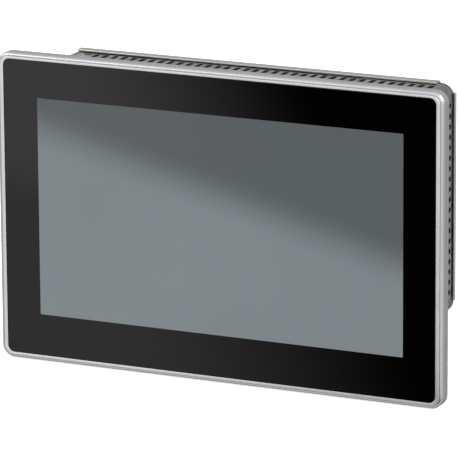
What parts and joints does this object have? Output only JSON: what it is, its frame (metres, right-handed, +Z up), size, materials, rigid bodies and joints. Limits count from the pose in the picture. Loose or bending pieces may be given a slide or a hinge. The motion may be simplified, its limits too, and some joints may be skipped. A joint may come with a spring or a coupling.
{
  "type": "panel-mount touch panel",
  "caption": "Panel-mounted industrial touch display: flush glass front in a rounded metal frame, vented steel rear housing, and connectors facing down behind it.",
  "frame": {"origin": "centre of the whole object's box", "axes": "the glass faces -Y, +X is to the viewer's right, +Z is up, connectors face -Z"},
  "size_m": [0.2718, 0.0494, 0.1776],
  "materials": {
    "cast_aluminium": "bead-blasted and clear anodised, satin",
    "cover_glass": "gloss cover glass with a printed black border",
    "foam_rubber": "closed-cell foam, matt",
    "sensor_film": "laminated sensor film",
    "display_face": "dark grey display face, switched off",
    "light_guide": "white light guide and diffusers",
    "steel": "zinc-plated steel",
    "zinc_sheet": "zinc-coated sheet steel, satin grey",
    "nickel_sheet": "nickel-plated sheet steel, warm satin",
    "board_green": "solder-resist green circuit board",
    "flex_amber": "amber polyimide flexible circuit",
    "cable_white": "white flat cable",
    "black_plastic": "moulded black plastic",
    "pad_grey": "soft thermal pad",
    "green_plastic": "moulded green terminal plastic",
    "plate_silver": "blank silver plate"
  },
  "bodies": {
    "panel": {"backlight_unit": "light_guide", "board_screw_1": "steel", "board_screw_2": "steel", "board_screw_3": "steel", "board_screw_4": "steel", "board_standoff_1": "steel", "board_standoff_2": "steel", "board_standoff_3": "steel", "board_standoff_4": "steel", "card_door_frame": "black_plastic", "card_hinge_pin": "steel", "card_socket": "steel", "chassis_screw_1": "steel", "chassis_screw_2": "steel", "chassis_screw_3": "steel", "chassis_screw_4": "steel", "chassis_tray": "zinc_sheet", "coin_cell": "steel", "coin_cell_holder": "black_plastic", "cover_screw_1": "steel", "cover_screw_2": "steel", "cover_screw_3": "steel", "cover_screw_4": "steel", "cover_screw_5": "steel", "cover_screw_6": "steel", "display_bracket_bottom": "steel", "display_bracket_top": "steel", "display_cable": "cable_white", "display_panel": "display_face", "display_shield": "steel", "earth_screw": "steel", "ethernet_port_1": "steel", "ethernet_port_2": "steel", "front_frame": "cast_aluminium", "front_glass": "cover_glass", "glass_adhesive": "foam_rubber", "heat_sink": "cast_aluminium", "jackscrew_1": "steel", "jackscrew_2": "steel", "main_board": "board_green", "mode_switch_body": "steel", "panel_gasket": "foam_rubber", "power_header": "green_plastic", "processor": "black_plastic", "rating_plate": "plate_silver", "rear_cover": "nickel_sheet", "rear_housing": "zinc_sheet", "reset_switch": "black_plastic", "serial_port": "steel", "thermal_pad": "pad_grey", "touch_board": "board_green", "touch_flex": "flex_amber", "touch_sensor": "sensor_film", "usb_port_1": "steel", "usb_port_2": "steel"},
    "power_plug": {"power_plug": "green_plastic"},
    "reset_button": {"reset_button": "black_plastic"},
    "mode_switch_knob": {"mode_switch_knob": "black_plastic"},
    "card_flap": {"card_flap": "black_plastic"}
  },
  "joints": [
    {"name": "power_plug_pull", "type": "slide", "parent": "panel", "child": "power_plug", "axis": [0, 0, -1], "range_m": [0, 0.025]},
    {"name": "reset_press", "type": "slide", "parent": "panel", "child": "reset_button", "axis": [0, 0, 1], "range_m": [0, 0.0008], "stiffness_N_per_m": 1500},
    {"name": "mode_slide", "type": "slide", "parent": "panel", "child": "mode_switch_knob", "axis": [1, 0, 0], "range_m": [-0.002, 0.002]},
    {"name": "card_flap_hinge", "type": "hinge", "parent": "panel", "child": "card_flap", "pos_m": [0.089, 0.01575, -0.0499], "axis": [1, 0, 0], "range_deg": [0, 105]}
  ]
}
